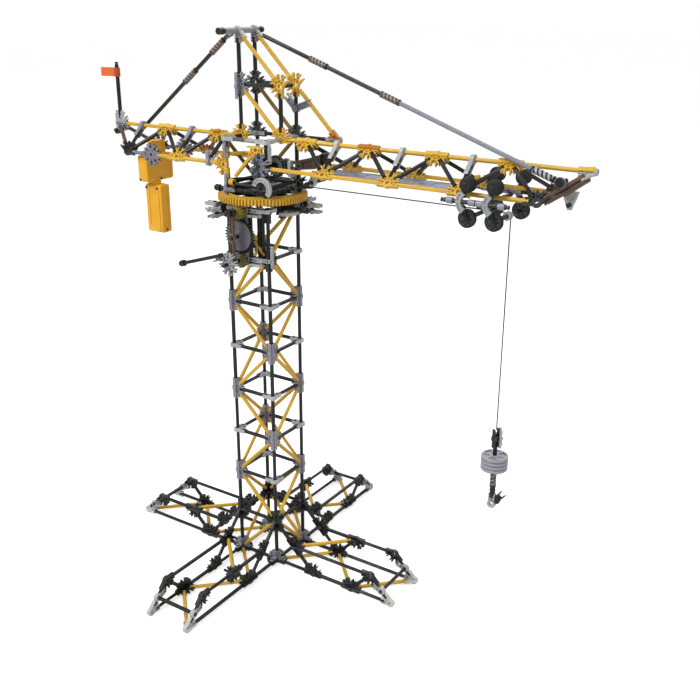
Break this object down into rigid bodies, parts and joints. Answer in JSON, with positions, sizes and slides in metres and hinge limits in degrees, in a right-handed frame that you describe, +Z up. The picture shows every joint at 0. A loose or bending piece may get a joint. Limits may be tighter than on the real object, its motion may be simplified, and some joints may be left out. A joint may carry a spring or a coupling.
{
  "type": "toy tower crane",
  "caption": "Construction-toy tower crane: lattice tower on crossed legs, geared slewing top, stayed jib with trolley and hook, counterweight and flag.",
  "frame": {"origin": "on the floor, under the middle of the overall length and width; the tower axis stands at x = -0.0928 m", "axes": "+X along the jib towards its tip, +Z up, +Y to the left of the jib seen from the tower"},
  "size_m": [0.8471, 0.5402, 0.8615],
  "materials": {
    "black_plastic": "satin",
    "yellow_plastic": "gloss",
    "light_grey_plastic": "satin",
    "slate_plastic": "satin",
    "bronze_plastic": "satin",
    "olive_plastic": "satin",
    "lavender_plastic": "satin",
    "orange_film": "matte",
    "string": "braided",
    "black_tyre": "matte"
  },
  "bodies": {
    "tower": {"base_ring": "black_plastic", "leg_frame_front": "black_plastic", "leg_frame_right": "black_plastic", "leg_frame_back": "black_plastic", "leg_frame_left": "black_plastic", "leg_brace_front": "yellow_plastic", "leg_brace_right": "yellow_plastic", "leg_brace_back": "yellow_plastic", "leg_brace_left": "yellow_plastic", "tower_section_1": "black_plastic", "tower_section_2": "black_plastic", "tower_section_3": "black_plastic", "tower_section_4": "black_plastic", "tower_brace_1": "yellow_plastic", "tower_brace_2": "yellow_plastic", "tower_brace_3": "yellow_plastic", "tower_brace_4": "yellow_plastic", "drive_strut": "bronze_plastic", "drive_bracket": "light_grey_plastic"},
    "top": {"crown_gear": "yellow_plastic", "turntable_frame": "black_plastic", "cab_frame": "black_plastic", "cab_brace": "yellow_plastic", "mast_frame": "black_plastic", "mast_brace_upper": "yellow_plastic", "mast_brace_lower": "yellow_plastic", "jib_top_chord": "yellow_plastic", "jib_near_chord": "yellow_plastic", "jib_far_chord": "yellow_plastic", "jib_web": "black_plastic", "jib_deck": "slate_plastic", "counter_top_chord": "yellow_plastic", "counter_near_chord": "yellow_plastic", "counter_far_chord": "yellow_plastic", "counter_web": "black_plastic", "front_stay": "black_plastic", "rear_stay": "black_plastic", "motor_housing": "yellow_plastic", "battery_housing": "yellow_plastic", "flag_pole": "black_plastic", "flag": "orange_film", "winch_block": "black_plastic", "cable_guide": "black_plastic", "trolley_cable": "string"},
    "pinion": {"drive_pinion": "olive_plastic"},
    "spur": {"spur_gear": "slate_plastic"},
    "crank": {"crank_hub": "light_grey_plastic", "crank_handle": "black_plastic"},
    "winch": {"winch_drum": "slate_plastic"},
    "trolley": {"trolley_frame": "light_grey_plastic", "hoist_cable": "string"},
    "wheel_rear_near": {"upper_wheel_rear_near": "black_tyre"},
    "wheel_rear_far": {"upper_wheel_rear_far": "black_tyre"},
    "wheel_front_near": {"upper_wheel_front_near": "black_tyre"},
    "wheel_front_far": {"upper_wheel_front_far": "black_tyre"},
    "axle_rear": {"lower_axle_rear": "black_tyre"},
    "axle_front": {"lower_axle_front": "black_tyre"},
    "hook": {"hook_clip": "black_plastic"},
    "hook_lower": {"hook_weights": "lavender_plastic", "hook_tip": "bronze_plastic"}
  },
  "joints": [
    {"name": "slew", "type": "hinge", "parent": "tower", "child": "top", "pos_m": [-0.0928, 0, 0.626], "axis": [0, 0, 1], "continuous": true},
    {"name": "pinion_spin", "type": "hinge", "parent": "tower", "child": "pinion", "pos_m": [-0.0928, -0.06, 0.6076], "axis": [0, 1, 0], "continuous": true},
    {"name": "spur_spin", "type": "hinge", "parent": "tower", "child": "spur", "pos_m": [-0.0928, -0.058, 0.57], "axis": [0, 1, 0], "continuous": true},
    {"name": "crank_turn", "type": "hinge", "parent": "tower", "child": "crank", "pos_m": [-0.0928, -0.087, 0.5324], "axis": [0, 1, 0], "continuous": true},
    {"name": "trolley_travel", "type": "slide", "parent": "top", "child": "trolley", "axis": [1, 0, 0], "range_m": [-0.235, 0.03], "deforming": ["trolley_cable"]},
    {"name": "hook_hoist", "type": "slide", "parent": "trolley", "child": "hook", "axis": [0, 0, 1], "range_m": [-0.155, 0.26], "deforming": ["hoist_cable"]},
    {"name": "winch_turn", "type": "hinge", "parent": "top", "child": "winch", "pos_m": [-0.0552, 0, 0.6709], "axis": [0, 1, 0], "range_deg": [-1035.8, 1727.3]},
    {"name": "hook_swivel", "type": "hinge", "parent": "hook", "child": "hook_lower", "pos_m": [0.3148, 0, 0.286], "axis": [0, 0, 1], "continuous": true},
    {"name": "wheel_rear_near_roll", "type": "hinge", "parent": "trolley", "child": "wheel_rear_near", "pos_m": [0.2732, -0.0424, 0.6845], "axis": [0, 1, 0], "range_deg": [-1322.2, 181.9]},
    {"name": "wheel_rear_far_roll", "type": "hinge", "parent": "trolley", "child": "wheel_rear_far", "pos_m": [0.2732, 0.0424, 0.6845], "axis": [0, 1, 0], "range_deg": [-1322.2, 181.9]},
    {"name": "axle_rear_spin", "type": "hinge", "parent": "trolley", "child": "axle_rear", "pos_m": [0.2732, 0, 0.6405], "axis": [0, 1, 0], "continuous": true},
    {"name": "wheel_front_near_roll", "type": "hinge", "parent": "trolley", "child": "wheel_front_near", "pos_m": [0.3108, -0.0424, 0.6845], "axis": [0, 1, 0], "range_deg": [-1322.2, 181.9]},
    {"name": "wheel_front_far_roll", "type": "hinge", "parent": "trolley", "child": "wheel_front_far", "pos_m": [0.3108, 0.0424, 0.6845], "axis": [0, 1, 0], "range_deg": [-1322.2, 181.9]},
    {"name": "axle_front_spin", "type": "hinge", "parent": "trolley", "child": "axle_front", "pos_m": [0.3108, 0, 0.6405], "axis": [0, 1, 0], "continuous": true}
  ],
  "couplings": [
    {"joint": "pinion_spin", "follows": "slew", "ratio": 5.8571},
    {"joint": "spur_spin", "follows": "slew", "ratio": -2.4118},
    {"joint": "crank_turn", "follows": "slew", "ratio": 5.8571},
    {"joint": "winch_turn", "follows": "hook_hoist", "rad_per_m": 114.94},
    {"joint": "wheel_rear_near_roll", "follows": "trolley_travel", "rad_per_m": 97.087},
    {"joint": "wheel_rear_far_roll", "follows": "trolley_travel", "rad_per_m": 97.087},
    {"joint": "wheel_front_near_roll", "follows": "trolley_travel", "rad_per_m": 97.087},
    {"joint": "wheel_front_far_roll", "follows": "trolley_travel", "rad_per_m": 97.087}
  ]
}
